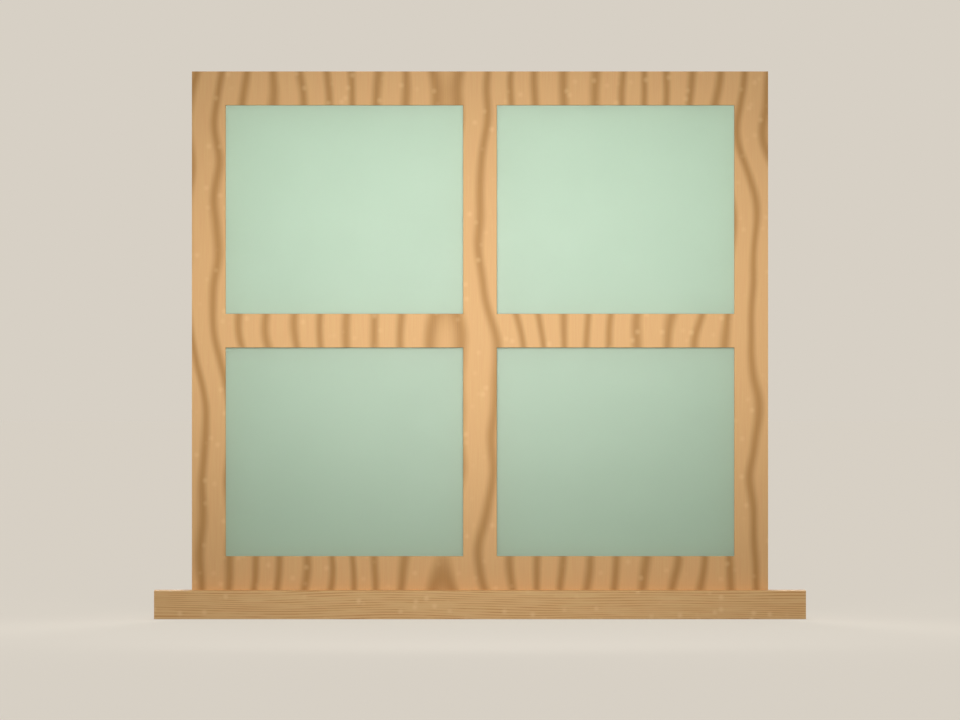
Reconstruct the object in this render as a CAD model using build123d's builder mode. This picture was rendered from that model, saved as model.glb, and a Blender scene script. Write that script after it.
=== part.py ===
"""Timber double casement window: a fixed four-light frame on a projecting sill,
with two inward-opening casement sashes closed behind it.

The frame lies in the XZ plane, +Z up. The outside faces -Y and the room is at +Y.
The origin is on the underside of the sill, at the middle of the frame's width and depth.
"""
import os

from build123d import *

os.makedirs("parts", exist_ok=True)

# Driving dimensions of the fixed frame, in millimetres
frame_width = 1000.0
frame_height = 900.0
face_width = 58.5
nib_depth = 18.0
leg_width = 18.0
arris = 0.6

# Sill
sill_height = 50.0
sill_horn = 65.0
horn_depth = 50.0
sill_nosing = 25.0
weathering = 1.0
nose_radius = 0.8
drip_radius = 3.0
drip_inset = 12.0

# Sashes
sash_depth = 46.0
sash_set_back = 1.5
lip_depth = 6.0
rebate = 10.0
seal_gap = 3.0
sash_gap = 3.0
meeting_gap = 3.0
seal_width = 9.0

# Mortise-and-tenon joints
tenon_depth = 8.0
tenon_shoulder = 12.0
stub_tenon = 28.0
sash_tenon = 10.0
sash_tenon_depth = 12.0
sash_shoulder = 6.0
joint_gap = 0.2

# Glazing
glass_depth = 6.0
glass_edge_gap = 3.0
bead_depth = 18.0
bead_chamfer = 6.0
mitre_gap = 0.3

# Fixing holes through the jambs
fixing_radius = 4.0
fixing_spacing = 600.0

# Butt hinges
hinge_length = 90.0
hinge_inset = 150.0
knuckle_count = 3
knuckle_radius = 5.5
knuckle_gap = 0.4
pin_radius = 2.5
pin_gap = 0.3
tip_radius = 4.5
tip_height = 6.0
tip_chamfer = 2.5
leaf_depth = 2.5
leaf_margin = 2.0
leaf_corner = 3.0
sash_leaf_width = 26.0

# Meeting strip and turn handle
strip_width = 35.0
strip_depth = 12.0
strip_chamfer = 4.0
plate_width = 24.0
plate_length = 120.0
plate_depth = 5.0
plate_corner = 6.0
spindle_radius = 9.0
spindle_length = 24.0
grip_length = 112.0
grip_depth = 12.0
grip_top_radius = 11.0
grip_end_radius = 7.5
grip_chamfer = 3.0

# Planes through the depth, from the outside face to the room side
frame_depth = nib_depth + seal_gap + sash_depth
y_front = -frame_depth / 2
y_nib = y_front + nib_depth
y_sash = y_nib + seal_gap
y_lip = y_sash + lip_depth
y_glass = y_lip + glass_depth
y_back = y_sash + sash_depth
y_strip = y_back + strip_depth
y_plate = y_strip + plate_depth

# Lines across the width, measured outwards from the middle
x_outer = frame_width / 2
x_leg = x_outer - leg_width
x_jamb = x_outer - face_width
x_mullion = face_width / 2
x_sash_hinge = x_leg - sash_gap
x_sash_meet = meeting_gap / 2
x_sight_hinge = x_jamb + sash_set_back
x_sight_meet = x_mullion - sash_set_back

# Levels, measured up from the underside of the sill
z_low = sill_height
z_high = z_low + frame_height
z_mid = (z_low + z_high) / 2
z_rail = z_low + face_width
z_head = z_high - face_width
z_transom_low = z_mid - face_width / 2
z_transom_high = z_mid + face_width / 2
z_sash_low = z_low + leg_width + sash_gap
z_sash_high = z_high - leg_width - sash_gap

# Depth range of the tenons in the fixed frame and in the sashes
y_tenon = (y_nib + y_front - tenon_depth) / 2
frame_tenon = (y_tenon, y_tenon + tenon_depth)
y_sash_tenon = (y_lip + y_back - sash_tenon_depth) / 2
sash_tenon_range = (y_sash_tenon, y_sash_tenon + sash_tenon_depth)

# Height ranges of the lights, at the sashes' sight lines
light_levels = {
    "lower": (z_rail - sash_set_back, z_transom_low + sash_set_back),
    "upper": (z_transom_high - sash_set_back, z_head + sash_set_back),
}
hinge_levels = {"lower": z_sash_low + hinge_inset, "upper": z_sash_high - hinge_inset}
sides = {"left": -1, "right": 1}


def save(piece, label):
    """Label a finished piece and write it."""
    piece.part.label = label
    export_step(piece.part, f"parts/{label}.step")


def run(xs, ys, zs, mode=Mode.ADD):
    """Add or cut a straight square-edged run between two corners."""
    (x0, x1), (y0, y1), (z0, z1) = sorted(xs), sorted(ys), sorted(zs)
    with BuildSketch(Plane.XY.offset(z0)) as section:
        with Locations(((x0 + x1) / 2, (y0 + y1) / 2)):
            Rectangle(x1 - x0, y1 - y0)
    extrude(section.sketch, amount=z1 - z0, mode=mode)


def widened(span):
    """Range of a mortise that takes a tenon of this range."""
    low, high = sorted(span)
    return (low - joint_gap, high + joint_gap)


def shouldered(span, shoulder):
    """Range of a tenon cut back by its shoulders from this range."""
    low, high = sorted(span)
    return (low + shoulder, high - shoulder)


def outside_plane(x, y, z):
    """Plane that looks from the outside into the depth of the window."""
    return Plane(origin=(x, y, z), x_dir=(1, 0, 0), z_dir=(0, 1, 0))


def ease_lights():
    """Take the sharp arris off the four lights, mitred at their corners."""
    x_middle = (x_jamb + x_mullion) / 2
    for side in sides.values():
        for low, high in ((z_rail, z_transom_low), (z_transom_high, z_head)):
            plane = outside_plane(side * x_middle, y_front, (low + high) / 2)
            with BuildSketch(plane) as light:
                Rectangle(x_jamb - x_mullion + 2 * arris, high - low + 2 * arris)
            extrude(light.sketch, amount=arris, taper=45, mode=Mode.SUBTRACT)


# Height ranges of the tenons on the head, the bottom rail and the transoms
head_tenon = shouldered((z_head, z_high), tenon_shoulder)
rail_tenon = shouldered((z_low, z_rail), tenon_shoulder)
transom_tenon = shouldered((z_transom_low, z_transom_high), tenon_shoulder)
mullion_tenon = shouldered((-x_mullion, x_mullion), tenon_shoulder)

# Sill, weathered to a rounded nose, with a drip groove under it and its horns notched for the wall
y_nose = y_front - sill_nosing
sill_half = x_outer + sill_horn
with BuildPart() as sill:
    with BuildSketch(Plane.YZ) as sill_section:
        with BuildLine():
            Polyline(
                (y_back, 0),
                (y_nose, 0),
                (y_nose, sill_height - weathering),
                (y_front, sill_height),
                (y_back, sill_height),
                close=True,
            )
        make_face()
        with Locations((y_nose + drip_inset, 0)):
            Circle(drip_radius, mode=Mode.SUBTRACT)
    extrude(amount=sill_half, both=True)
    fillet(sill.edges().filter_by(Axis.X).group_by(Axis.Y)[0], nose_radius)
    for side in sides.values():
        run((side * x_outer, side * sill_half), (y_nose + horn_depth, y_back), (0, sill_height), Mode.SUBTRACT)
save(sill, "sill")

# Jambs, rebated for the sashes, mortised for the rails and bored for the fixings
for name, side in sides.items():
    with BuildPart() as jamb:
        with BuildSketch(Plane.XY.offset(z_low)):
            with BuildLine():
                Polyline(
                    (side * x_outer, y_front),
                    (side * x_jamb, y_front),
                    (side * x_jamb, y_nib),
                    (side * x_leg, y_nib),
                    (side * x_leg, y_back),
                    (side * x_outer, y_back),
                    close=True,
                )
            make_face()
        extrude(amount=frame_height)
        for level in (head_tenon, rail_tenon, transom_tenon):
            run((side * x_jamb, side * x_outer), widened(frame_tenon), widened(level), Mode.SUBTRACT)
        with BuildSketch(Plane.YZ.offset(side * x_jamb)):
            with Locations((y_front + nib_depth / 2, z_mid)):
                with GridLocations(0, fixing_spacing, 1, 2):
                    Circle(fixing_radius)
        extrude(amount=side * face_width, mode=Mode.SUBTRACT)
        ease_lights()
    save(jamb, f"{name}_jamb")

# Head and bottom rail, through-tenoned to the jambs and mortised for the mullion
cross_members = {
    "head": ((z_head, z_high), (z_high - leg_width, z_high), head_tenon, (z_head, z_head + stub_tenon)),
    "bottom_rail": ((z_low, z_rail), (z_low, z_low + leg_width), rail_tenon, (z_rail, z_rail - stub_tenon)),
}
for name, (face, leg, tenon, socket) in cross_members.items():
    with BuildPart() as member:
        run((-x_jamb, x_jamb), (y_front, y_nib), face)
        run((-x_leg, x_leg), (y_nib, y_back), leg)
        run((-x_outer, x_outer), frame_tenon, tenon)
        run(widened(mullion_tenon), widened(frame_tenon), widened(socket), Mode.SUBTRACT)
        ease_lights()
    save(member, name)

# Mullion, stub-tenoned to the head and the bottom rail and mortised for the transoms
with BuildPart() as mullion:
    run((-x_mullion, x_mullion), (y_front, y_nib), (z_rail, z_head))
    run(mullion_tenon, frame_tenon, (z_rail - stub_tenon, z_head + stub_tenon))
    run((-x_mullion, x_mullion), widened(frame_tenon), widened(transom_tenon), Mode.SUBTRACT)
    ease_lights()
save(mullion, "mullion")

# Transoms, through-tenoned to the jambs and stub-tenoned to the mullion
for name, side in sides.items():
    with BuildPart() as transom:
        run((side * x_mullion, side * x_jamb), (y_front, y_nib), (z_transom_low, z_transom_high))
        run((side * (x_mullion - stub_tenon), side * x_outer), frame_tenon, transom_tenon)
        ease_lights()
    save(transom, f"{name}_transom")

# Sash stiles, rebated for the glass and mortised for the rails and the glazing bar
z_sight_low, z_bar_low = light_levels["lower"]
z_bar_high, z_sight_high = light_levels["upper"]
sash_rails = {
    "bottom_rail": ((z_sash_low, z_sight_low), (z_sash_low, z_sight_low - rebate)),
    "glazing_bar": ((z_bar_low, z_bar_high), (z_bar_low + rebate, z_bar_high - rebate)),
    "top_rail": ((z_sight_high, z_sash_high), (z_sight_high + rebate, z_sash_high)),
}
x_body_hinge = x_sight_hinge + rebate
x_body_meet = x_sight_meet - rebate
sash_stiles = {
    "hinge_stile": (x_sash_hinge, x_sight_hinge, x_body_hinge, x_body_hinge + sash_tenon),
    "meeting_stile": (x_sash_meet, x_sight_meet, x_body_meet, x_body_meet - sash_tenon),
}
for name, side in sides.items():
    for stile_name, (x_edge, x_sight, x_body, x_socket) in sash_stiles.items():
        with BuildPart() as stile:
            with BuildSketch(Plane.XY.offset(z_sash_low)):
                with BuildLine():
                    Polyline(
                        (side * x_edge, y_sash),
                        (side * x_sight, y_sash),
                        (side * x_sight, y_lip),
                        (side * x_body, y_lip),
                        (side * x_body, y_back),
                        (side * x_edge, y_back),
                        close=True,
                    )
                make_face()
            extrude(amount=z_sash_high - z_sash_low)
            for _, body in sash_rails.values():
                level = shouldered(body, sash_shoulder)
                socket = widened((side * x_body, side * x_socket))
                run(socket, widened(sash_tenon_range), widened(level), Mode.SUBTRACT)
        save(stile, f"{name}_sash_{stile_name}")

# Sash rails and glazing bars, with their shoulders scribed over the stiles' rebates
for name, side in sides.items():
    for rail_name, (lip, body) in sash_rails.items():
        with BuildPart() as rail:
            run((side * x_sight_meet, side * x_sight_hinge), (y_sash, y_lip), lip)
            run((side * x_body_meet, side * x_body_hinge), (y_lip, y_back), body)
            tenon_ends = (side * (x_body_meet - sash_tenon), side * (x_body_hinge + sash_tenon))
            run(tenon_ends, sash_tenon_range, shouldered(body, sash_shoulder))
        save(rail, f"{name}_sash_{rail_name}")

# Panes, bedded on the sashes' lips and held from the room side by mitred beads
x_light = (x_sight_hinge + x_sight_meet) / 2
light_width = x_sight_hinge - x_sight_meet
glass_cover = rebate - glass_edge_gap
for name, side in sides.items():
    for level_name, (low, high) in light_levels.items():
        light_height = high - low
        z_light = (low + high) / 2
        with BuildPart() as pane:
            with BuildSketch(outside_plane(side * x_light, y_lip, z_light)):
                Rectangle(light_width + 2 * glass_cover, light_height + 2 * glass_cover)
            extrude(amount=glass_depth)
        save(pane, f"{name}_{level_name}_pane")

        with BuildPart() as beads:
            with BuildSketch(outside_plane(side * x_light, y_glass, z_light)):
                Rectangle(light_width + 2 * rebate, light_height + 2 * rebate)
                Rectangle(light_width, light_height, mode=Mode.SUBTRACT)
                for slope in (-1, 1):
                    with GridLocations(light_width + rebate, light_height + rebate, 2, 2) as corners:
                        points = [spot.position for spot in corners.local_locations]
                    mitres = [point for point in points if point.X * point.Y * slope > 0]
                    with Locations(*mitres):
                        Rectangle(4 * rebate, mitre_gap, rotation=slope * 45, mode=Mode.SUBTRACT)
            extrude(amount=bead_depth)
            with BuildSketch(outside_plane(side * x_light, y_glass + bead_depth, z_light)):
                Rectangle(light_width + 2 * bead_chamfer, light_height + 2 * bead_chamfer)
            extrude(amount=-bead_chamfer, taper=45, mode=Mode.SUBTRACT)
        save(beads, f"{name}_{level_name}_beads")

# Weather seals, closing the gap between the fixed frame and each sash
for name, side in sides.items():
    sash_width = x_sash_hinge - x_sash_meet
    sash_height = z_sash_high - z_sash_low
    with BuildPart() as seal:
        x_middle = side * (x_sash_hinge + x_sash_meet) / 2
        with BuildSketch(outside_plane(x_middle, y_nib, (z_sash_low + z_sash_high) / 2)):
            Rectangle(sash_width, sash_height)
            Rectangle(sash_width - 2 * seal_width, sash_height - 2 * seal_width, mode=Mode.SUBTRACT)
        extrude(amount=seal_gap)
    save(seal, f"{name}_weather_seal")

# Butt hinges, face-fixed on the room side with their knuckles over the running gap
x_pin = x_leg - sash_gap / 2
y_pin = y_back + knuckle_radius + pin_gap
knuckle_length = (hinge_length - (knuckle_count - 1) * knuckle_gap) / knuckle_count
knuckle_pitch = knuckle_length + knuckle_gap
frame_leaf_width = x_outer - leaf_margin - x_pin
leaf_widths = {"frame_leaf": (0, frame_leaf_width), "sash_leaf": (1, -sash_leaf_width)}


def knuckle_column(x, z, first, radius, length, mode):
    """Add or cut every second knuckle of a hinge centred on this height."""
    for index in range(first, knuckle_count, 2):
        z_centre = z - hinge_length / 2 + knuckle_length / 2 + index * knuckle_pitch
        with BuildSketch(Plane.XY.offset(z_centre)) as ring:
            with Locations((x, y_pin)):
                Circle(radius)
        extrude(ring.sketch, amount=length / 2, both=True, mode=mode)


for name, side in sides.items():
    for level_name, z_hinge in hinge_levels.items():
        x_axis = side * x_pin
        for leaf_name, (first, width) in leaf_widths.items():
            with BuildPart() as leaf:
                with BuildSketch(outside_plane(x_axis + side * width / 2, y_back, z_hinge)) as plate:
                    Rectangle(abs(width), hinge_length)
                    fillet(plate.vertices(), leaf_corner)
                extrude(amount=leaf_depth)
                knuckle_column(x_axis, z_hinge, 1 - first, knuckle_radius + knuckle_gap,
                               knuckle_length + 2 * knuckle_gap, Mode.SUBTRACT)
                knuckle_column(x_axis, z_hinge, first, knuckle_radius, knuckle_length, Mode.ADD)
                with BuildSketch(Plane.XY.offset(z_hinge)):
                    with Locations((x_axis, y_pin)):
                        Circle(pin_radius + pin_gap)
                extrude(amount=hinge_length / 2, both=True, mode=Mode.SUBTRACT)
            save(leaf, f"{name}_{level_name}_hinge_{leaf_name}")

        z_cap = hinge_length / 2 + pin_gap
        with BuildPart() as pin:
            with BuildSketch(outside_plane(x_axis, y_pin, z_hinge)):
                with BuildLine() as turned:
                    Polyline(
                        (0, z_cap + tip_height),
                        (tip_radius - tip_chamfer, z_cap + tip_height),
                        (tip_radius, z_cap + tip_height - tip_chamfer),
                        (tip_radius, z_cap),
                        (pin_radius, z_cap),
                        (pin_radius, 0),
                    )
                    mirror(turned.edges(), about=Plane.XZ)
                    Line((0, -z_cap - tip_height), (0, z_cap + tip_height))
                make_face()
            revolve(axis=Axis((x_axis, y_pin, z_hinge), (0, 0, 1)))
        save(pin, f"{name}_{level_name}_hinge_pin")

# Meeting strip over the joint of the two sashes
with BuildPart() as strip:
    with BuildSketch(Plane.XY.offset(z_sash_low)):
        with Locations((0, y_back + strip_depth / 2)):
            Rectangle(strip_width, strip_depth)
    extrude(amount=z_sash_high - z_sash_low)
    chamfer(strip.edges().filter_by(Axis.Z).group_by(Axis.Y)[-1], strip_chamfer)
save(strip, "meeting_strip")

# Turn handle on the meeting strip, hanging in its closed position
with BuildPart() as plate:
    with BuildSketch(outside_plane(0, y_strip, z_mid)):
        RectangleRounded(plate_width, plate_length, plate_corner)
    extrude(amount=plate_depth)
save(plate, "handle_plate")

with BuildPart() as spindle:
    with BuildSketch(outside_plane(0, y_plate, z_mid)):
        Circle(spindle_radius)
    extrude(amount=spindle_length)
save(spindle, "handle_spindle")

with BuildPart() as grip:
    with BuildSketch(outside_plane(0, y_plate + spindle_length, z_mid)):
        Circle(grip_top_radius)
        with Locations((0, grip_length)):
            Circle(grip_end_radius)
        make_hull()
    extrude(amount=grip_depth)
    chamfer(grip.faces().sort_by(Axis.Y)[-1].edges(), grip_chamfer)
save(grip, "handle_grip")
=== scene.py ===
"""Looks of the timber double casement window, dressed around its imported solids."""
import logging
import math
from dataclasses import dataclass
from enum import Enum

import bmesh
import bpy
import numpy as np
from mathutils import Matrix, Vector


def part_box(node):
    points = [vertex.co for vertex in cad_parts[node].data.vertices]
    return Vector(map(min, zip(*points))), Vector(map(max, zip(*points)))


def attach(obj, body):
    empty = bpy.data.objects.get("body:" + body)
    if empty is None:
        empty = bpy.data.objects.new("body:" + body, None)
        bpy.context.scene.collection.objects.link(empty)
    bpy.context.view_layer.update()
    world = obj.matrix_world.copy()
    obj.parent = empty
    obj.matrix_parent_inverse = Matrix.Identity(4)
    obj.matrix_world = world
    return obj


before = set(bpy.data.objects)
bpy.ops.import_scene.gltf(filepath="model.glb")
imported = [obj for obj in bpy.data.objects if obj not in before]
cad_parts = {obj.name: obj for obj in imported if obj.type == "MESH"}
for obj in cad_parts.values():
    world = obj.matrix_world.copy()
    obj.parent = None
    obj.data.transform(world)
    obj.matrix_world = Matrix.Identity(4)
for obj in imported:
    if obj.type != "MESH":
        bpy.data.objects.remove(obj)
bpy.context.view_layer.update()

MM = 0.001
ROOT = "root"
SIDES = ("left", "right")
LEVELS = ("lower", "upper")
LAMP_WHITE = (1.0, 0.985, 0.96)
# Points closer than this are welded, and edges that turn by more than this stay crisp.
WELD = 0.001 * MM
SHARP_ANGLE = math.radians(32)
Tree = bpy.types.NodeTree
Socket = bpy.types.NodeSocket
Patch = tuple[np.ndarray, np.ndarray]
log = logging.getLogger("window")


def linear(code: str) -> tuple[float, float, float, float]:
    """Turn an sRGB hex colour into linear RGBA.

    Args:
        code: six hex digits, as in "f0c085".

    Returns:
        Linear red, green and blue, with an alpha of 1.
    """
    srgb = np.array([int(code[i:i + 2], 16) for i in (0, 2, 4)]) / 255
    rgb = np.where(srgb <= 0.04045, srgb / 12.92, ((srgb + 0.055) / 1.055) ** 2.4)
    return (*(float(c) for c in rgb), 1.0)


def add_node(tree: Tree, kind: str, inputs: dict | None = None, **settings: object) -> bpy.types.Node:
    """Add a shader node with its settings, values and links.

    Args:
        tree: node tree that takes the node.
        kind: node type, without its ShaderNode prefix.
        inputs: input name or number to a value, or to the output socket that feeds it.
        settings: properties of the node.

    Returns:
        The new node.
    """
    node = tree.nodes.new("ShaderNode" + kind)
    for name, value in settings.items():
        setattr(node, name, value)
    for key, value in (inputs or {}).items():
        if isinstance(value, Socket):
            tree.links.new(value, node.inputs[key])
        else:
            node.inputs[key].default_value = value
    return node


def new_material(name: str) -> tuple[bpy.types.Material, Tree, bpy.types.Node]:
    """Start a material that holds only its output.

    Args:
        name: common name of the real material and its finish.

    Returns:
        The material, its node tree and its output node.
    """
    material = bpy.data.materials.new(name)
    material.use_nodes = True
    tree = material.node_tree
    tree.nodes.clear()
    return material, tree, add_node(tree, "OutputMaterial")


class Figure(Enum):
    """How the figure of a timber runs."""

    WHOLE_FACE = "one wide figure over the whole face of the frame"
    ALONG_X = "grain along a horizontal piece"
    ALONG_Z = "grain along an upright piece"
    ROUND_LIGHTS = "grain along each mitred bead of a light"


@dataclass(frozen=True)
class Pine:
    """Clear-oiled planed softwood: tan early wood with soft brown late-wood bands and pale flecks.

    The eye sees brown bands with blurred edges, a faint silky fibre between them and a low, even sheen.
    Straight-grained pieces have narrower and weaker bands than the wide-ringed timber of the frame's face.
    """

    name: str
    figure: Figure
    early: str = "e7b67a"
    late: str = "bf8d4f"
    fleck: str = "fed59a"
    band_mm: float = 24.0
    band_reach: float = 0.28
    wander_mm: float = 60.0
    wander_size_mm: float = 160.0
    fibre_mm: float = 1.6
    fibre_length_mm: float = 60.0
    fibre_share: float = 0.14
    fleck_spacing_mm: float = 26.0
    fleck_mm: float = 15.0
    fleck_share: float = 0.32
    fleck_threshold: float = 0.4
    wander_start: tuple[float, float, float] = (0.0, 0.0, 0.0)
    wander_draw: float = 0.12
    depth_share: float = 0.6
    roughness: float = 0.55
    roughness_swing: tuple[float, float] = (-0.07, 0.08)
    relief: float = 0.2
    relief_mm: float = 0.2
    sheen: float = 0.3

    def material(self) -> bpy.types.Material:
        """Build the node tree of this timber."""
        material, tree, output = new_material(self.name)
        place = add_node(tree, "TexCoord").outputs["Object"]
        band = self.fold(tree, self.rings(tree, place))
        fibre = self.fibre(tree, place)
        wood = add_node(tree, "Mix", {0: band, 6: linear(self.early), 7: linear(self.late)}, data_type="RGBA")
        toned = add_node(tree, "Mix", {0: self.fibre_share, 6: wood.outputs[2], 7: fibre},
                         data_type="RGBA", blend_type="OVERLAY")
        share = self.flecks(tree, place)
        flecked = add_node(tree, "Mix", {0: share, 6: toned.outputs[2], 7: linear(self.fleck)},
                           data_type="RGBA")
        smooth, coarse = (self.roughness + swing for swing in self.roughness_swing)
        rough = add_node(tree, "MapRange", {0: fibre, 3: smooth, 4: coarse})
        height = add_node(tree, "Math", {0: fibre, 1: band}, operation="SUBTRACT")
        bump = add_node(tree, "Bump", {"Strength": self.relief, "Distance": self.relief_mm * MM,
                                       "Height": height.outputs[0]})
        shader = add_node(tree, "BsdfPrincipled", {
            "Base Color": flecked.outputs[2],
            "Roughness": rough.outputs[0],
            "Normal": bump.outputs[0],
            "Specular IOR Level": self.sheen,
        })
        tree.links.new(shader.outputs[0], output.inputs[0])
        return material

    def rings(self, tree: Tree, place: Socket) -> Socket:
        """Ring number in a straight-grained piece.

        It is the distance across the grain, plus a share of the depth and a wander, over the width of a ring.

        Args:
            tree: node tree of the timber.
            place: coordinates in metres.

        Returns:
            Socket that counts rings, a whole number in the middle of a dark band.
        """
        axes = add_node(tree, "SeparateXYZ", {0: place}).outputs
        across = axes[2] if self.figure is Figure.ALONG_X else axes[0]
        deep = add_node(tree, "Math", {0: axes[1], 1: self.depth_share, 2: across}, operation="MULTIPLY_ADD")
        stretch = self.along_grain(self.wander_draw, 1.0)
        drawn = add_node(tree, "VectorMath", {0: place, 1: stretch}, operation="MULTIPLY")
        wander = self.wander(tree, drawn.outputs[0], self.wander_size_mm, self.wander_mm, self.wander_start)
        bent = add_node(tree, "Math", {0: deep.outputs[0], 1: wander})
        count = add_node(tree, "Math", {0: bent.outputs[0], 1: self.band_mm * MM}, operation="DIVIDE")
        return count.outputs[0]

    def along_grain(self, along: float, across: float) -> tuple[float, float, float]:
        """Scale for X, Y and Z that differs along the grain."""
        return (along, across, across) if self.figure is Figure.ALONG_X else (across, across, along)

    def wander(self, tree: Tree, place: Socket, size_mm: float, reach_mm: float,
               start: tuple[float, float, float]) -> Socket:
        """Slow noise that pushes the rings about, in metres.

        Args:
            tree: node tree of the timber.
            place: coordinates in metres.
            size_mm: size of one push.
            reach_mm: length that the noise's whole range of 1 stands for.
            start: place in the noise that the origin takes.

        Returns:
            Socket with the push, 0 on average.
        """
        scaled = add_node(tree, "VectorMath", {0: place, 1: (1 / (size_mm * MM),) * 3, 2: start},
                          operation="MULTIPLY_ADD")
        noise = add_node(tree, "TexNoise", {"Vector": scaled.outputs[0], "Scale": 1.0, "Detail": 1.0})
        return add_node(tree, "MapRange", {0: noise.outputs["Fac"], 3: -0.5 * reach_mm * MM,
                                           4: 0.5 * reach_mm * MM}).outputs[0]

    def fold(self, tree: Tree, rings: Socket) -> Socket:
        """Fold a ring number into soft dark bands, one at each whole number.

        Args:
            tree: node tree of the timber.
            rings: ring number.

        Returns:
            Socket with 1 in the middle of a band and 0 between bands.
        """
        fold = add_node(tree, "Math", {0: rings, 1: 0.5}, operation="PINGPONG")
        return add_node(tree, "MapRange", {0: fold.outputs[0], 2: self.band_reach, 3: 1.0, 4: 0.0},
                        interpolation_type="SMOOTHSTEP").outputs[0]

    def fibre(self, tree: Tree, place: Socket) -> Socket:
        """Fine fibre streaks, a noise drawn out along the grain.

        Args:
            tree: node tree of the timber.
            place: coordinates in metres.

        Returns:
            Socket from 0 to 1, about 0.5 on average.
        """
        stretch = self.along_grain(1 / (self.fibre_length_mm * MM), 1 / (self.fibre_mm * MM))
        drawn = add_node(tree, "VectorMath", {0: place, 1: stretch}, operation="MULTIPLY")
        noise = add_node(tree, "TexNoise", {"Vector": drawn.outputs[0], "Scale": 1.0, "Detail": 3.0})
        return noise.outputs["Fac"]

    def flecks(self, tree: Tree, place: Socket) -> Socket:
        """Sparse pale flecks, at some of the points of a cell pattern.

        Args:
            tree: node tree of the timber.
            place: coordinates in metres.

        Returns:
            Socket with up to fleck_share in a fleck and 0 elsewhere.
        """
        cells = add_node(tree, "TexVoronoi", {"Vector": place, "Scale": 1 / (self.fleck_spacing_mm * MM)})
        reach = 0.5 * self.fleck_mm / self.fleck_spacing_mm
        fade = {0: cells.outputs["Distance"], 2: reach, 3: self.fleck_share, 4: 0.0}
        spot = add_node(tree, "MapRange", fade, interpolation_type="SMOOTHSTEP")
        chosen = add_node(tree, "Math", {0: cells.outputs["Color"], 1: self.fleck_threshold},
                          operation="GREATER_THAN")
        kept = add_node(tree, "Math", {0: spot.outputs[0], 1: chosen.outputs[0]}, operation="MULTIPLY")
        return kept.outputs[0]


@dataclass(frozen=True)
class Drift:
    """A slow wander of the rings, by the size of its waves, its reach and its start in the noise."""

    size_mm: float
    reach_mm: float
    start: tuple[float, float, float]


@dataclass(frozen=True)
class FacePine(Pine):
    """The frame's wide-ringed softwood, whose rings run on from one member into the next.

    One heart runs up the whole frame, left of its middle, and slow drifts bend the rings.
    """

    front_mm: float = 0.0
    heart_x_mm: float = -60.0
    heart_depth_mm: float = 25.0
    heart_ring: float = 1.9
    ring_mm: float = 45.0
    drifts: tuple[Drift, ...] = (
        Drift(300.0, 100.0, (0.0, 6.0, 0.0)),
        Drift(150.0, 30.0, (5.0, 0.0, 0.0)),
    )

    def rings(self, tree: Tree, place: Socket) -> Socket:
        """Ring number round the heart of the tree, which lies behind the frame's face.

        With u across from the heart and d behind it, the ring number is
        heart_ring + (sqrt(u^2 + d^2) - heart_depth + drifts) / ring.

        Args:
            tree: node tree of the timber.
            place: coordinates in metres.

        Returns:
            Socket that counts rings, a whole number in the middle of a dark band.
        """
        axes = add_node(tree, "SeparateXYZ", {0: place}).outputs
        depth = self.heart_depth_mm * MM
        across = add_node(tree, "Math", {0: axes[0], 1: self.heart_x_mm * MM}, operation="SUBTRACT")
        inward = add_node(tree, "Math", {0: axes[1], 1: self.front_mm * MM}, operation="SUBTRACT")
        behind = add_node(tree, "Math", {0: inward.outputs[0], 1: depth})
        ray = add_node(tree, "CombineXYZ", {0: across.outputs[0], 1: behind.outputs[0]})
        radius = add_node(tree, "VectorMath", {0: ray.outputs[0]}, operation="LENGTH")
        grown = add_node(tree, "Math", {0: radius.outputs["Value"], 1: depth}, operation="SUBTRACT")
        for drift in self.drifts:
            shift = self.wander(tree, place, drift.size_mm, drift.reach_mm, drift.start)
            grown = add_node(tree, "Math", {0: grown.outputs[0], 1: shift})
        count = add_node(tree, "Math", {0: grown.outputs[0], 1: self.ring_mm * MM}, operation="DIVIDE")
        return add_node(tree, "Math", {0: count.outputs[0], 1: self.heart_ring}).outputs[0]


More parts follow.
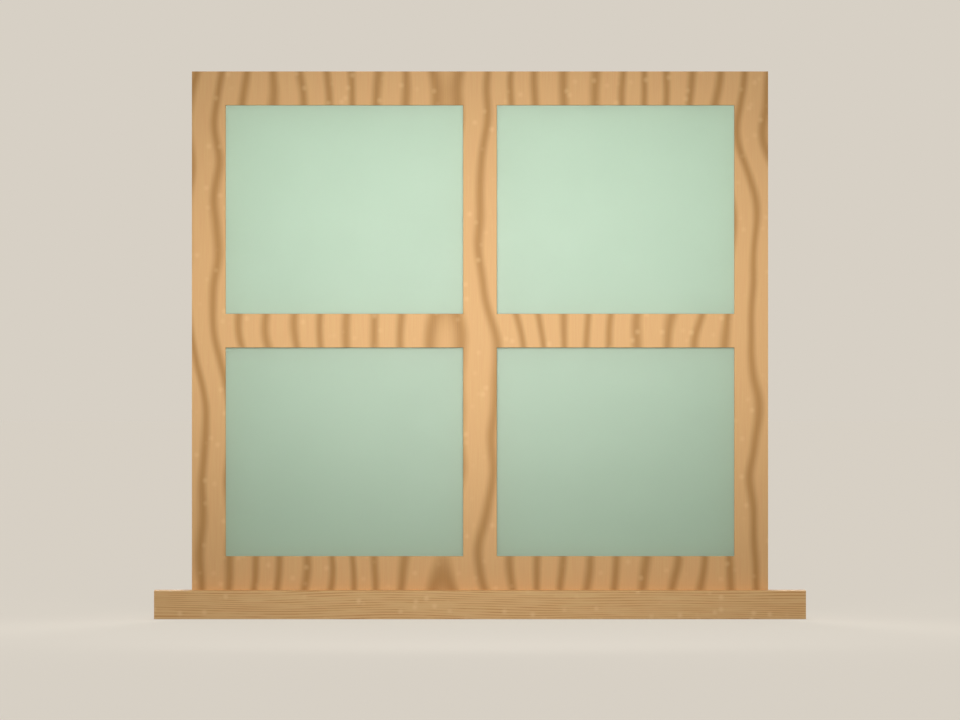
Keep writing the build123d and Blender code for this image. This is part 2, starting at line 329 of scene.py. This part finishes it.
@dataclass(frozen=True)
class BeadPine(Pine):
    """Straight-grained softwood for the beads, with grain that turns at each mitre.

    The lights mirror each other about the middle of the window, so one light's box serves all four.
    """

    wander_start: tuple[float, float, float] = (3.0, 5.0, 7.0)
    light_x_mm: float = 0.0
    light_z_mm: float = 0.0
    half_width_mm: float = 0.0
    half_height_mm: float = 0.0
    middle_mm: float = 0.0

    def edges(self, tree: Tree,
              place: Socket) -> tuple[Socket, Socket]:
        """Distances in metres from the upright and from the level edges of the nearest light.

        The upright one is half_width - ||x| - light_x|, the level one half_height - ||z - middle| - light_z|.

        Args:
            tree: node tree of the timber.
            place: coordinates in metres.

        Returns:
            Sockets with the two distances.
        """
        axes = add_node(tree, "SeparateXYZ", {0: place}).outputs
        found = []
        for axis, middle, light, half in ((axes[0], 0.0, self.light_x_mm, self.half_width_mm),
                                          (axes[2], self.middle_mm, self.light_z_mm, self.half_height_mm)):
            centred = add_node(tree, "Math", {0: axis, 1: middle * MM}, operation="SUBTRACT")
            folded = add_node(tree, "Math", {0: centred.outputs[0]}, operation="ABSOLUTE")
            local = add_node(tree, "Math", {0: folded.outputs[0], 1: light * MM}, operation="SUBTRACT")
            away = add_node(tree, "Math", {0: local.outputs[0]}, operation="ABSOLUTE")
            inside = add_node(tree, "Math", {0: half * MM, 1: away.outputs[0]}, operation="SUBTRACT")
            found.append(inside.outputs[0])
        return found[0], found[1]

    def rings(self, tree: Tree, place: Socket) -> Socket:
        """Ring number in a bead: the distance from its outer edge, plus a wander, over the width of a ring.

        Args:
            tree: node tree of the timber.
            place: coordinates in metres.

        Returns:
            Socket that counts rings, a whole number in the middle of a dark band.
        """
        upright, level = self.edges(tree, place)
        across = add_node(tree, "Math", {0: upright, 1: level}, operation="MINIMUM")
        wander = self.wander(tree, place, self.wander_size_mm, self.wander_mm, self.wander_start)
        bent = add_node(tree, "Math", {0: across.outputs[0], 1: wander})
        count = add_node(tree, "Math", {0: bent.outputs[0], 1: self.band_mm * MM}, operation="DIVIDE")
        return count.outputs[0]

    def fibre(self, tree: Tree, place: Socket) -> Socket:
        """Fine fibre streaks, drawn out along X in level beads and along Z in upright ones.

        Args:
            tree: node tree of the timber.
            place: coordinates in metres.

        Returns:
            Socket from 0 to 1, about 0.5 on average.
        """
        upright, level = self.edges(tree, place)
        is_level = add_node(tree, "Math", {0: level, 1: upright}, operation="LESS_THAN")
        fine, long = 1 / (self.fibre_mm * MM), 1 / (self.fibre_length_mm * MM)
        streaks = []
        for stretch in ((fine, fine, long), (long, fine, fine)):
            drawn = add_node(tree, "VectorMath", {0: place, 1: stretch}, operation="MULTIPLY")
            noise = add_node(tree, "TexNoise", {"Vector": drawn.outputs[0], "Scale": 1.0, "Detail": 3.0})
            streaks.append(noise.outputs["Fac"])
        return add_node(tree, "Mix", {0: is_level.outputs[0], 2: streaks[0], 3: streaks[1]}).outputs[0]


@dataclass(frozen=True)
class SillPine(Pine):
    """The same softwood sawn on the quarter, with thin brown streaks of uneven strength along the sill."""

    streak_patch_mm: float = 10.0
    streak_draw: float = 0.14
    streak_range: tuple[float, float] = (0.36, 0.6)
    streak_least: float = 0.1

    def fold(self, tree: Tree, rings: Socket) -> Socket:
        """Fold a ring number into thin streaks that fade in and out along the sill.

        Args:
            tree: node tree of the timber.
            rings: ring number.

        Returns:
            Socket with up to 1 in a streak and 0 between streaks.
        """
        thin = super().fold(tree, rings)
        place = add_node(tree, "TexCoord").outputs["Object"]
        patch = 1 / (self.streak_patch_mm * MM)
        stretch = self.along_grain(self.streak_draw * patch, patch)
        drawn = add_node(tree, "VectorMath", {0: place, 1: stretch}, operation="MULTIPLY")
        noise = add_node(tree, "TexNoise", {"Vector": drawn.outputs[0], "Scale": 1.0, "Detail": 2.0})
        low, high = self.streak_range
        strength = add_node(tree, "MapRange", {0: noise.outputs["Fac"], 1: low, 2: high,
                                               3: self.streak_least, 4: 1.0})
        return add_node(tree, "Math", {0: thin, 1: strength.outputs[0]}, operation="MULTIPLY").outputs[0]


@dataclass(frozen=True)
class SatinGlass:
    """Pale green acid-etched float glass: it lets light through but blurs all that is behind it.

    The eye sees an even, milky green with a broad soft sheen and no sharp image.
    """

    name: str = "pale_green_satin_glass"
    tint: str = "b4d1ba"
    milk: str = "b1ceb7"
    ior: float = 1.52
    roughness: float = 0.45
    clear_share: float = 0.45
    etch_mm: float = 90.0
    etch_swing: float = 0.01

    def material(self) -> bpy.types.Material:
        """Build the node tree of the glass."""
        material, tree, output = new_material(self.name)
        place = add_node(tree, "TexCoord").outputs["Object"]
        etch = add_node(tree, "TexNoise", {"Vector": place, "Scale": 1 / (self.etch_mm * MM), "Detail": 1.0})
        colour = add_node(tree, "Mix", {0: etch.outputs["Fac"], 6: linear(self.tint), 7: linear(self.milk)},
                          data_type="RGBA")
        rough = add_node(tree, "MapRange", {0: etch.outputs["Fac"], 3: self.roughness - self.etch_swing,
                                            4: self.roughness + self.etch_swing})
        shader = add_node(tree, "BsdfPrincipled", {
            "Base Color": colour.outputs[2],
            "Roughness": rough.outputs[0],
            "IOR": self.ior,
            "Transmission Weight": self.clear_share,
        })
        tree.links.new(shader.outputs[0], output.inputs[0])
        return material


@dataclass(frozen=True)
class SatinBrass:
    """Satin-brushed brass: a warm metal with a broad highlight, fine brush lines and faint tarnish."""

    name: str = "satin_brass"
    bright: str = "e3c27e"
    tarnish: str = "b8935a"
    roughness: float = 0.34
    roughness_swing: tuple[float, float] = (-0.1, 0.12)
    relief: float = 0.15
    relief_mm: float = 0.05
    tarnish_mm: float = 14.0
    tarnish_range: tuple[float, float] = (0.45, 0.75)
    tarnish_share: float = 0.6
    brush_mm: float = 0.5
    brush_length_mm: float = 30.0

    def material(self) -> bpy.types.Material:
        """Build the node tree of the brass."""
        material, tree, output = new_material(self.name)
        place = add_node(tree, "TexCoord").outputs["Object"]
        scale = 1 / (self.tarnish_mm * MM)
        cloud = add_node(tree, "TexNoise", {"Vector": place, "Scale": scale, "Detail": 4.0})
        clean, dull = self.tarnish_range
        share = add_node(tree, "MapRange", {0: cloud.outputs["Fac"], 1: clean, 2: dull,
                                            3: 0.0, 4: self.tarnish_share})
        colour = add_node(tree, "Mix", {0: share.outputs[0], 6: linear(self.bright), 7: linear(self.tarnish)},
                          data_type="RGBA")
        fine, long = 1 / (self.brush_mm * MM), 1 / (self.brush_length_mm * MM)
        drawn = add_node(tree, "VectorMath", {0: place, 1: (fine, fine, long)}, operation="MULTIPLY")
        brush = add_node(tree, "TexNoise", {"Vector": drawn.outputs[0], "Scale": 1.0, "Detail": 2.0})
        smooth, coarse = (self.roughness + swing for swing in self.roughness_swing)
        rough = add_node(tree, "MapRange", {0: brush.outputs["Fac"], 3: smooth, 4: coarse})
        bump = add_node(tree, "Bump", {"Strength": self.relief, "Distance": self.relief_mm * MM,
                                       "Height": brush.outputs["Fac"]})
        shader = add_node(tree, "BsdfPrincipled", {
            "Base Color": colour.outputs[2],
            "Metallic": 1.0,
            "Roughness": rough.outputs[0],
            "Normal": bump.outputs[0],
        })
        tree.links.new(shader.outputs[0], output.inputs[0])
        return material


@dataclass(frozen=True)
class SealRubber:
    """Extruded black rubber: matt and slightly dusty."""

    name: str = "black_rubber"
    dark: str = "242220"
    dusty: str = "46433e"
    dust_mm: float = 8.0
    roughness: float = 0.8

    def material(self) -> bpy.types.Material:
        """Build the node tree of the rubber."""
        material, tree, output = new_material(self.name)
        place = add_node(tree, "TexCoord").outputs["Object"]
        dust = add_node(tree, "TexNoise", {"Vector": place, "Scale": 1 / (self.dust_mm * MM), "Detail": 3.0})
        colour = add_node(tree, "Mix", {0: dust.outputs["Fac"], 6: linear(self.dark), 7: linear(self.dusty)},
                          data_type="RGBA")
        shader = add_node(tree, "BsdfPrincipled", {
            "Base Color": colour.outputs[2],
            "Roughness": self.roughness,
        })
        tree.links.new(shader.outputs[0], output.inputs[0])
        return material


def grid_patch(points: np.ndarray, wrap: bool = False) -> Patch:
    """Turn a grid of points into a patch of quads.

    Vertex i, j joins its neighbours i + 1 and j + 1. The second direction closes on itself where wrap is set.

    Args:
        points: array of rows, columns and 3 coordinates.
        wrap: whether the last column joins the first.

    Returns:
        Vertices, and faces as rows of four vertex numbers.
    """
    rows, columns = points.shape[:2]
    number = np.arange(rows * columns).reshape(rows, columns)
    beside = np.roll(number, -1, axis=1) if wrap else number[:, 1:]
    here = number if wrap else number[:, :-1]
    quads = np.stack([here[:-1], here[1:], beside[1:], beside[:-1]], axis=-1)
    return points.reshape(-1, 3), quads.reshape(-1, 4)


def mesh_object(name: str, patches: list[Patch]) -> bpy.types.Object:
    """Join patches into one mesh object at the origin, with closed poles and outward faces.

    Args:
        name: name of the piece.
        patches: vertices and faces of each patch.

    Returns:
        The new object, linked to the scene.
    """
    starts = np.cumsum([0] + [len(points) for points, _ in patches[:-1]])
    points = np.concatenate([points for points, _ in patches])
    faces = np.concatenate([faces + start for (_, faces), start in zip(patches, starts)])
    mesh = bpy.data.meshes.new(name)
    mesh.from_pydata(points.tolist(), [], faces.tolist())
    whole = bmesh.new()
    whole.from_mesh(mesh)
    bmesh.ops.remove_doubles(whole, verts=whole.verts, dist=WELD)
    bmesh.ops.recalc_face_normals(whole, faces=whole.faces)
    whole.to_mesh(mesh)
    whole.free()
    mesh.shade_smooth()
    mesh.set_sharp_from_angle(angle=SHARP_ANGLE)
    made = bpy.data.objects.new(name, mesh)
    bpy.context.scene.collection.objects.link(made)
    return made


def turned(profile: np.ndarray, count: int) -> np.ndarray:
    """Carry a profile round the local Z axis.

    A profile point of radius r and height h at turn a is (r cos a, r sin a, h).

    Args:
        profile: rows of radius and height, from the crown to the foot.
        count: points round the axis.

    Returns:
        Grid of profile rows and turns.
    """
    turn = np.linspace(0, 2 * math.pi, count, endpoint=False)
    radius, height = profile[:, :1], profile[:, 1:]
    return np.stack([radius * np.cos(turn), radius * np.sin(turn), height + 0 * turn], axis=-1)


def domed_disc(radius: float, rim: float, dome: float, count: int, sink: float = 1.0 * MM) -> np.ndarray:
    """Round head with a low dome: height rim + dome * (1 - (r / radius)^2), down to a sunk foot.

    Args:
        radius: radius of the head.
        rim: height of its edge.
        dome: rise from the edge to the middle.
        count: points round the head.
        sink: depth of the foot under the seat.

    Returns:
        Grid of rings and turns.
    """
    share = np.linspace(0, 1, 6)
    crown = np.stack([radius * share, rim + dome * (1 - share ** 2)], axis=1)
    foot = np.array([[radius, -sink], [0.0, -sink]])
    return turned(np.concatenate([crown, foot]), count)


def slotted_head(radius: float, rim: float = 0.2 * MM, dome: float = 0.8 * MM, slot: float = 0.9 * MM,
                 sink: float = 1.0 * MM) -> np.ndarray:
    """Raised screw head with a straight slot.

    Across the slot, a station x has half a chord c = sqrt(radius^2 - x^2). Along it, y runs from c to -c
    over the top and back along the sunk foot. The top is rim + dome * (1 - (x^2 + y^2) / radius^2), less
    the slot's depth, which is 0.8 of the dome and rim, where |x| is less than half the slot. The slot's
    floor is 0.96 of its width, so that its walls lean.

    Args:
        radius: radius of the head.
        rim: height of its edge.
        dome: rise from the edge to the middle.
        slot: width of the slot.
        sink: depth of the foot under the seat.

    Returns:
        Grid of stations and points round each section.
    """
    half = slot / 2
    floor_half = 0.96 * half
    depth = 0.8 * (rim + dome)
    outer = radius * np.cos(np.linspace(0, math.acos(half / radius), 7))
    x = np.concatenate([-outer, [-floor_half, floor_half], outer[::-1]])[:, None]
    chord = np.sqrt(np.maximum(radius ** 2 - x ** 2, 0))
    y = chord * np.linspace(1, -1, 9)
    in_slot = np.abs(x) < (half + floor_half) / 2
    top = rim + dome * (1 - (x ** 2 + y ** 2) / radius ** 2) - depth * in_slot
    back = chord * np.array([-1.0, 1.0])
    y_all = np.concatenate([y, back], axis=1)
    z_all = np.concatenate([top, np.full_like(back, -sink)], axis=1)
    return np.stack([x + 0 * y_all, y_all, z_all], axis=-1)


def on_room_side(shape: np.ndarray, spots: np.ndarray, turns: np.ndarray) -> list[Patch]:
    """Set copies of a head on faces that look to the room, along +Y.

    Each copy turns by its angle a about its own axis: local X goes to (cos a, 0, sin a), local Y to
    (-sin a, 0, cos a) and local Z to +Y.

    Args:
        shape: grid of a head.
        spots: seat of each copy, as rows of 3 coordinates.
        turns: angle of each copy.

    Returns:
        One closed patch for each copy.
    """
    cosine, sine, zero = np.cos(turns), np.sin(turns), np.zeros_like(turns)
    axes = np.stack([np.stack([cosine, zero, sine], axis=-1), np.stack([-sine, zero, cosine], axis=-1),
                     np.stack([zero, zero + 1, zero], axis=-1)], axis=1)
    placed = np.einsum("ijk,nkl->nijl", shape, axes) + spots[:, None, None, :]
    return [grid_patch(copy, wrap=True) for copy in placed]


class Assembly:
    """A group of the window's pieces that is dressed together."""

    def dress(self, material: bpy.types.Material, *names: str) -> None:
        """Give nodes of the frame one material.

        Args:
            material: finish of the nodes.
            names: names of the nodes.
        """
        for name in names:
            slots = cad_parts[name].data.materials
            slots.clear()
            slots.append(material)
            log.info("%s: %s", name, material.name)

    def add_piece(self, name: str, patches: list[Patch], material: bpy.types.Material, slot: str) -> None:
        """Add a piece that stays with the window.

        Args:
            name: name of the piece.
            patches: vertices and faces of its parts.
            material: its finish.
            slot: the record's material slot of that finish. It is not used.
        """
        piece = mesh_object(name, patches)
        piece.data.materials.append(material)
        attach(piece, ROOT)
        log.info("%s: %d faces", name, len(piece.data.polygons))


@dataclass
class FixedFrame(Assembly):
    """The outer frame of jambs, head, rail, mullion and transoms, on its sill."""

    members: tuple[str, ...] = ("head", "bottom_rail", "mullion")
    paired: tuple[str, ...] = ("jamb", "transom")

    def build(self) -> None:
        """Dress the timber of the frame and the sill."""
        paired = [f"{side}_{member}" for side in SIDES for member in self.paired]
        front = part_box("head")[0].y / MM
        face = FacePine("oiled_wide_ringed_pine", Figure.WHOLE_FACE, front_mm=front)
        self.dress(face.material(), *self.members, *paired)
        sill = SillPine("oiled_quarter_sawn_pine", Figure.ALONG_X, early="f1c487", late="d29353", band_mm=4.4,
                        wander_mm=26.0, wander_size_mm=60.0, fleck_share=0.7)
        self.dress(sill.material(), "sill")


@dataclass
class CasementSashes(Assembly):
    """The two leaves, with the strip that covers their meeting stiles and the plugs over its screws."""

    uprights: tuple[str, ...] = ("hinge_stile", "meeting_stile")
    levels: tuple[str, ...] = ("top_rail", "glazing_bar", "bottom_rail")
    plug_radius_mm: float = 5.0
    plug_rim_mm: float = 0.1
    plug_rise_mm: float = 0.35
    plug_inset_mm: float = 55.0
    plug_count: int = 6

    def build(self) -> None:
        """Dress the leaves and plug the strip."""
        upright = Pine("oiled_pine_upright", Figure.ALONG_Z).material()
        level = Pine("oiled_pine_level", Figure.ALONG_X).material()
        stiles = [f"{side}_sash_{name}" for side in SIDES for name in self.uprights]
        self.dress(upright, *stiles, "meeting_strip")
        self.dress(level, *(f"{side}_sash_{name}" for side in SIDES for name in self.levels))
        low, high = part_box("meeting_strip")
        plate_low, plate_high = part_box("handle_plate")
        inset = self.plug_inset_mm * MM
        heights = np.linspace(low.z + inset, high.z - inset, self.plug_count)
        heights = heights[(heights < plate_low.z) | (heights > plate_high.z)]
        spots = np.stack([0 * heights, 0 * heights + high.y, heights], axis=1)
        plug = domed_disc(self.plug_radius_mm * MM, self.plug_rim_mm * MM, self.plug_rise_mm * MM, count=24)
        self.add_piece("strip_plugs", on_room_side(plug, spots, 0 * heights), level, "sash_timber")


@dataclass
class Glazing(Assembly):
    """Panes, their mitred beads and the pins that hold the beads."""

    pin_radius_mm: float = 1.1
    pin_rim_mm: float = 0.05
    pin_rise_mm: float = 0.4
    pin_inset_mm: float = 2.5
    pin_shares: tuple[float, ...] = (0.14, 0.5, 0.86)

    def build(self) -> None:
        """Dress the glass and the beads, and pin the beads."""
        lights = [f"{side}_{level}" for side in SIDES for level in LEVELS]
        self.dress(SatinGlass().material(), *(f"{light}_pane" for light in lights))
        self.dress(self.bead_timber().material(), *(f"{light}_beads" for light in lights))
        spots = np.concatenate([self.pin_spots(light) for light in lights])
        pin = domed_disc(self.pin_radius_mm * MM, self.pin_rim_mm * MM, self.pin_rise_mm * MM, count=10)
        pins = on_room_side(pin, spots, np.zeros(len(spots)))
        self.add_piece("bead_pins", pins, SatinBrass().material(), "hinge_brass")

    def bead_timber(self) -> BeadPine:
        """Timber whose grain follows the beads of the right upper light and its mirror images."""
        low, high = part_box("right_upper_beads")
        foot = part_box("right_lower_beads")[0]
        middle = (foot.z + high.z) / 2
        centre = (low + high) / 2
        return BeadPine("oiled_pine_beads", Figure.ROUND_LIGHTS, light_x_mm=centre.x / MM,
                        light_z_mm=(centre.z - middle) / MM, half_width_mm=(high.x - low.x) / 2 / MM,
                        half_height_mm=(high.z - low.z) / 2 / MM, middle_mm=middle / MM, wander_mm=30.0)

    def pin_spots(self, light: str) -> np.ndarray:
        """Seats of the pins round one light, the same number on each of its four beads.

        Args:
            light: side and level of the light.

        Returns:
            Rows of 3 coordinates.
        """
        low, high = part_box(f"{light}_beads")
        inset = self.pin_inset_mm * MM
        share = np.array(self.pin_shares)
        x_run = low.x + share * (high.x - low.x)
        z_run = low.z + share * (high.z - low.z)
        x = np.concatenate([x_run, x_run, 0 * z_run + low.x + inset, 0 * z_run + high.x - inset])
        z = np.concatenate([0 * x_run + low.z + inset, 0 * x_run + high.z - inset, z_run, z_run])
        return np.stack([x, 0 * x + high.y, z], axis=1)


@dataclass
class ButtHinges(Assembly):
    """Four brass butt hinges with slotted screws."""

    leaves: tuple[str, ...] = ("frame_leaf", "sash_leaf")
    leaf_depth_mm: float = 2.5
    screw_radius_mm: float = 3.0
    screw_pitch_mm: float = 30.0
    frame_edge_mm: float = 5.8
    sash_edge_mm: float = 11.0
    stagger_mm: float = 3.5
    slot_start: float = 0.3
    slot_step: float = 0.7

    def build(self) -> None:
        """Dress the hinges and screw them on."""
        brass = SatinBrass().material()
        hinges = [f"{side}_{level}_hinge" for side in SIDES for level in LEVELS]
        self.dress(brass, *(f"{hinge}_{part}" for hinge in hinges for part in (*self.leaves, "pin")))
        head = slotted_head(self.screw_radius_mm * MM)
        for hinge in hinges:
            spots = np.concatenate([self.screw_spots(hinge, leaf) for leaf in self.leaves])
            turns = np.arange(len(spots)) * self.slot_step + self.slot_start
            self.add_piece(f"{hinge}_screws", on_room_side(head, spots, turns), brass, "hinge_brass")

    def screw_spots(self, hinge: str, leaf: str) -> np.ndarray:
        """Seats of three screws on a leaf, in line on the frame and staggered on the sash.

        Args:
            hinge: name of the hinge.
            leaf: frame_leaf or sash_leaf.

        Returns:
            Rows of 3 coordinates.
        """
        low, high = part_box(f"{hinge}_{leaf}")
        side = 1 if low.x > 0 else -1
        near, far = sorted((abs(low.x), abs(high.x)))
        step = np.array([-1.0, 0.0, 1.0])
        if leaf == "frame_leaf":
            across = far - self.frame_edge_mm * MM + 0 * step
        else:
            across = near + (self.sash_edge_mm + self.stagger_mm * (2 * np.abs(step) - 1)) * MM
        height = (low.z + high.z) / 2 + step * self.screw_pitch_mm * MM
        return np.stack([side * across, 0 * step + low.y + self.leaf_depth_mm * MM, height], axis=1)


@dataclass
class TurnHandle(Assembly):
    """The brass turn handle: plate, spindle and hanging grip, with a collar, two screws and a cap."""

    screw_radius_mm: float = 3.0
    screw_inset_mm: float = 12.0
    slot_turns: tuple[float, float] = (0.5, 1.9)
    collar_mm: float = 3.2
    collar_rise_mm: float = 3.6
    collar_sink_mm: float = 0.5
    cap_radius_mm: float = 5.0
    cap_rim_mm: float = 0.3
    cap_rise_mm: float = 0.9

    def build(self) -> None:
        """Dress the handle and add its small pieces."""
        brass = SatinBrass().material()
        self.dress(brass, "handle_plate", "handle_spindle", "handle_grip")
        low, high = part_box("handle_plate")
        middle = (low.z + high.z) / 2
        reach = (high.z - low.z) / 2 - self.screw_inset_mm * MM
        spots = np.array([[0.0, high.y, middle - reach], [0.0, high.y, middle + reach]])
        head = slotted_head(self.screw_radius_mm * MM)
        screws = on_room_side(head, spots, np.array(self.slot_turns))
        self.add_piece("handle_screws", screws, brass, "handle_brass")
        hub = np.array([[0.0, high.y, middle]])
        self.add_piece("handle_collar", on_room_side(self.collar(), hub, np.zeros(1)), brass, "handle_brass")
        face = np.array([[0.0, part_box("handle_grip")[1].y, middle]])
        cap = domed_disc(self.cap_radius_mm * MM, self.cap_rim_mm * MM, self.cap_rise_mm * MM, count=28)
        self.add_piece("handle_cap", on_room_side(cap, face, np.zeros(1)), brass, "handle_brass")

    def collar(self) -> np.ndarray:
        """Half-round ring about the spindle: radius spindle + collar * (1 + cos a) / 2, height rise * sin a.

        Returns:
            Grid of the closed ring.
        """
        low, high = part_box("handle_spindle")
        inner = (high.x - low.x) / 2
        turn = np.linspace(0, math.pi, 9)
        width, rise, sink = self.collar_mm * MM, self.collar_rise_mm * MM, self.collar_sink_mm * MM
        round_top = np.stack([inner + width * (1 + np.cos(turn)) / 2, rise * np.sin(turn)], axis=1)
        foot = np.array([[inner, -sink], [inner + width, -sink], [inner + width, 0.0]])
        return turned(np.concatenate([round_top, foot]), count=40)


@dataclass
class WeatherSeals(Assembly):
    """The rubber strips between the frame and the leaves."""

    ending: str = "weather_seal"

    def build(self) -> None:
        """Dress the seals."""
        self.dress(SealRubber().material(), *(f"{side}_{self.ending}" for side in SIDES))


@dataclass(frozen=True)
class BeamLamp:
    """A soft lamp whose beam fades from its middle to its edge.

    Its place is in metres from the middle of the window's foot, its spread is in degrees, and its level is
    what a white face gets square to it. A lamp that isn't seen through glass lights the panes but doesn't
    glare through them.
    """

    name: str
    place: tuple[float, float, float]
    aim_height: float
    level: float
    spread: float
    width: float = 1.0
    radius: float = 0.25
    through_glass: bool = True

    def build(self) -> None:
        """Hang the lamp and turn it straight across to the window, at the height that it aims for."""
        off, rise = abs(self.place[1]), self.aim_height - self.place[2]
        reach = math.hypot(off, rise)
        light = bpy.data.lights.new(self.name, "SPOT")
        light.energy = self.level * (2 * math.pi * reach) ** 2
        light.color = LAMP_WHITE
        light.shadow_soft_size = self.radius
        light.spot_size = math.radians(self.spread)
        light.spot_blend = 1.0
        lamp = bpy.data.objects.new(self.name, light)
        lamp.location = self.place
        pitch = math.pi / 2 + math.atan2(rise, off)
        lamp.rotation_euler = (pitch, 0.0, 0.0 if self.place[1] < 0 else math.pi)
        lamp.scale = (self.width, 1.0, 1.0)
        lamp.visible_camera = False
        lamp.visible_transmission = self.through_glass
        bpy.context.scene.collection.objects.link(lamp)


@dataclass
class Studio:
    """Floor, light and camera around the window.

    The camera looks straight at the outside of the window, as far off as a long lens needs. A pale surround
    and broad lights from above and from both sides reach all faces. In front, a wide lamp is joined by a
    narrower one, and both beams are drawn out across the window. Lamps at the room side shine on the leaves
    and through the glass.
    """

    backdrop: str = "d7d0c5"
    image_px: tuple[int, int] = (960, 720)
    px_per_m: float = 576.2
    centre_rise_px: float = 29.3
    lens_mm: float = 400.0
    sensor_mm: float = 36.0
    view_limit: float = 200.0
    floor_rings: tuple[float, ...] = (0.0, 1.0, 4.0, 16.0, 60.0)
    floor_points: int = 64
    floor_drop: float = 0.0002
    world_level: float = 0.295
    overhead_level: float = 0.05
    side_level: float = 0.15
    side_height: float = 25.0
    broad_angle: float = 50.0
    floor_glow: float = 0.8
    lamps: tuple[BeamLamp, ...] = (
        BeamLamp("front_wide_lamp", (0.0, -3.0, 0.63), aim_height=0.63, level=0.241, spread=73.0, width=1.27,
                 through_glass=False),
        BeamLamp("front_soft_lamp", (0.0, -2.0, 0.565), aim_height=0.565, level=0.494, spread=33.5,
                 width=1.65, through_glass=False),
        BeamLamp("room_left_lamp", (-0.4, 2.5, 1.1), aim_height=0.55, level=0.115, spread=36.0, radius=0.4),
        BeamLamp("room_right_lamp", (0.4, 2.5, 1.1), aim_height=0.55, level=0.115, spread=36.0, radius=0.4),
        BeamLamp("room_high_lamp", (0.0, 2.2, 2.2), aim_height=0.5, level=0.56, spread=36.0),
    )

    def build(self) -> None:
        """Make the stage."""
        self.world()
        self.floor()
        self.broad_lights()
        for lamp in self.lamps:
            lamp.build()
        self.camera()
        bpy.context.scene.view_settings.view_transform = "Standard"

    def world(self) -> None:
        """Light the scene evenly, and show the backdrop's colour behind it and in gloss and glass."""
        world = bpy.data.worlds.new("pale_studio")
        bpy.context.scene.world = world
        world.use_nodes = True
        tree = world.node_tree
        tree.nodes.clear()
        light = add_node(tree, "Background", {"Color": (*LAMP_WHITE, 1.0), "Strength": self.world_level})
        show = add_node(tree, "Background", {"Color": linear(self.backdrop), "Strength": 1.0})
        mixed = add_node(tree, "MixShader", {0: self.seen(tree), 1: light.outputs[0], 2: show.outputs[0]})
        add_node(tree, "OutputWorld", {0: mixed.outputs[0]})

    def seen(self, tree: Tree) -> Socket:
        """Whether a ray comes from the camera, a gloss or a glass.

        Args:
            tree: node tree that asks.

        Returns:
            Socket with 1 for such a ray and 0 for any other.
        """
        rays = add_node(tree, "LightPath").outputs
        shown = rays["Is Camera Ray"]
        for kind in ("Is Glossy Ray", "Is Transmission Ray"):
            shown = add_node(tree, "Math", {0: shown, 1: rays[kind]}, operation="MAXIMUM").outputs[0]
        return shown

    def floor(self) -> None:
        """Lay a wide round floor that takes the window's shadow and meets the backdrop without a line.

        Points are radius r and turn a: x = r cos a, y = r sin a.
        """
        radius = np.array(self.floor_rings)[:, None]
        turn = np.linspace(0, 2 * math.pi, self.floor_points, endpoint=False)[None, :]
        points = np.stack([radius * np.cos(turn), radius * np.sin(turn),
                           np.full((radius.size, turn.size), -self.floor_drop)], axis=-1)
        floor = mesh_object("floor", [grid_patch(points, wrap=True)])
        material, tree, output = new_material("pale_floor")
        tone = linear(self.backdrop)
        from_sides = 2 * self.side_level * math.sin(math.radians(self.side_height))
        share = (1 - self.floor_glow) / (self.world_level + self.overhead_level + from_sides)
        matt = add_node(tree, "BsdfDiffuse", {"Color": tuple(share * c for c in tone[:3]) + (1.0,)})
        glow = add_node(tree, "Emission", {"Color": tone, "Strength": self.floor_glow})
        lit = add_node(tree, "AddShader", {0: matt.outputs[0], 1: glow.outputs[0]})
        mixed = add_node(tree, "MixShader", {0: self.seen(tree), 1: matt.outputs[0], 2: lit.outputs[0]})
        tree.links.new(mixed.outputs[0], output.inputs[0])
        floor.data.materials.append(material)

    def broad_lights(self) -> None:
        """Shine broad even lights down and from both sides, as from a lit ceiling and pale walls."""
        tilt = math.radians(90 - self.side_height)
        lights = (
            ("overhead_light", self.overhead_level, 0.0),
            ("left_light", self.side_level, -tilt),
            ("right_light", self.side_level, tilt),
        )
        for name, level, turn in lights:
            light = bpy.data.lights.new(name, "SUN")
            light.energy = math.pi * level
            light.color = LAMP_WHITE
            light.angle = math.radians(self.broad_angle)
            lamp = bpy.data.objects.new(name, light)
            lamp.rotation_euler = (0.0, turn, 0.0)
            bpy.context.scene.collection.objects.link(lamp)

    def camera(self) -> None:
        """Place the camera level with the image's middle, square to the window."""
        low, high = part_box("bottom_rail")[0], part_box("head")[1]
        centre = (low.z + high.z) / 2 - self.centre_rise_px / self.px_per_m
        distance = self.image_px[0] / self.px_per_m * self.lens_mm / self.sensor_mm
        data = bpy.data.cameras.new("camera")
        data.lens = self.lens_mm
        data.sensor_width = self.sensor_mm
        data.clip_end = self.view_limit
        camera = bpy.data.objects.new("camera", data)
        camera.location = (0.0, low.y - distance, centre)
        camera.rotation_euler = (math.pi / 2, 0.0, 0.0)
        bpy.context.scene.collection.objects.link(camera)
        bpy.context.scene.camera = camera


def main() -> None:
    """Dress the window, sub-assembly by sub-assembly, and set the stage."""
    logging.basicConfig(level=logging.INFO, format="%(message)s")
    for assembly in (FixedFrame(), CasementSashes(), Glazing(), ButtHinges(), TurnHandle(), WeatherSeals()):
        assembly.build()
    Studio().build()


if __name__ == "__main__":
    main()
